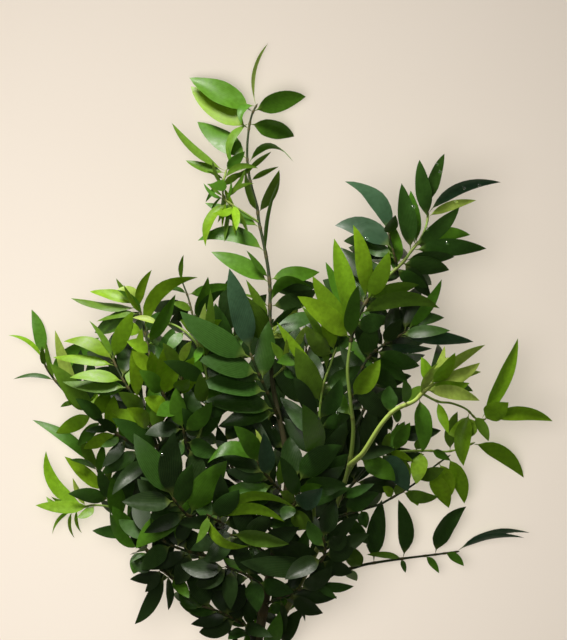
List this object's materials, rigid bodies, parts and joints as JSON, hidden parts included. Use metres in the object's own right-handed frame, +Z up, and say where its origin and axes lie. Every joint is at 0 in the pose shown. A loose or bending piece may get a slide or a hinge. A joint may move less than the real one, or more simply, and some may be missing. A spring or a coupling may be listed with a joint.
{
  "type": "fresh nagi branch",
  "caption": "Cut leafy nagi branch lying flat: forking woody stem with shoots of glossy lance-shaped green leaves, for vases, garlands and displays.",
  "frame": {"origin": "on the surface that the branch lies on, under the middle of its box", "axes": "+Y from the cut end towards the branch's tip, +X to the right seen from above with the tip away, +Z up off the surface"},
  "size_m": [0.552, 0.7061, 0.1556],
  "materials": {
    "aged_bark": "matte",
    "green_bark": "satin",
    "old_leaf": "gloss",
    "new_leaf": "gloss"
  },
  "bodies": {
    "root": {"main_stem": "aged_bark", "left_limb": "green_bark", "left_low_limb": "green_bark", "left_middle_limb": "green_bark", "right_limb": "green_bark", "right_low_limb": "green_bark", "leader_middle": "old_leaf", "leader_top": "old_leaf", "leader_left_shoot": "old_leaf", "centre_left_top_shoot": "old_leaf", "leader_side_shoot": "old_leaf", "centre_right_shoot": "old_leaf", "right_middle_shoot": "old_leaf", "right_top_shoot": "old_leaf", "right_inner_shoot": "old_leaf", "right_dark_shoot": "old_leaf", "young_right_shoot": "new_leaf", "far_right_shoot": "old_leaf", "right_arm_shoot": "old_leaf", "right_dark_twig": "old_leaf", "right_low_shoot": "old_leaf", "left_arm_shoot": "old_leaf", "left_upper_shoot": "old_leaf", "left_high_shoot": "old_leaf", "left_crown_shoot": "old_leaf", "left_core_shoot": "old_leaf", "arching_young_shoot": "new_leaf", "left_summit_shoot": "old_leaf", "left_low_shoot": "old_leaf", "left_claw_shoot": "old_leaf", "left_front_shoot": "old_leaf", "centre_bright_shoot": "old_leaf", "centre_shoot": "old_leaf", "centre_low_shoot": "old_leaf", "low_front_shoot": "old_leaf", "low_right_shoot": "old_leaf", "foot_right_shoot": "old_leaf", "foot_left_shoot": "old_leaf", "foot_front_shoot": "old_leaf", "hanging_left_shoot": "old_leaf", "left_belly_shoot": "old_leaf", "back_left_shoot": "old_leaf", "back_middle_shoot": "old_leaf", "back_high_shoot": "old_leaf", "back_centre_shoot": "old_leaf", "back_right_shoot": "old_leaf", "back_arm_shoot": "old_leaf", "back_foot_shoot": "old_leaf"}
  },
  "joints": []
}
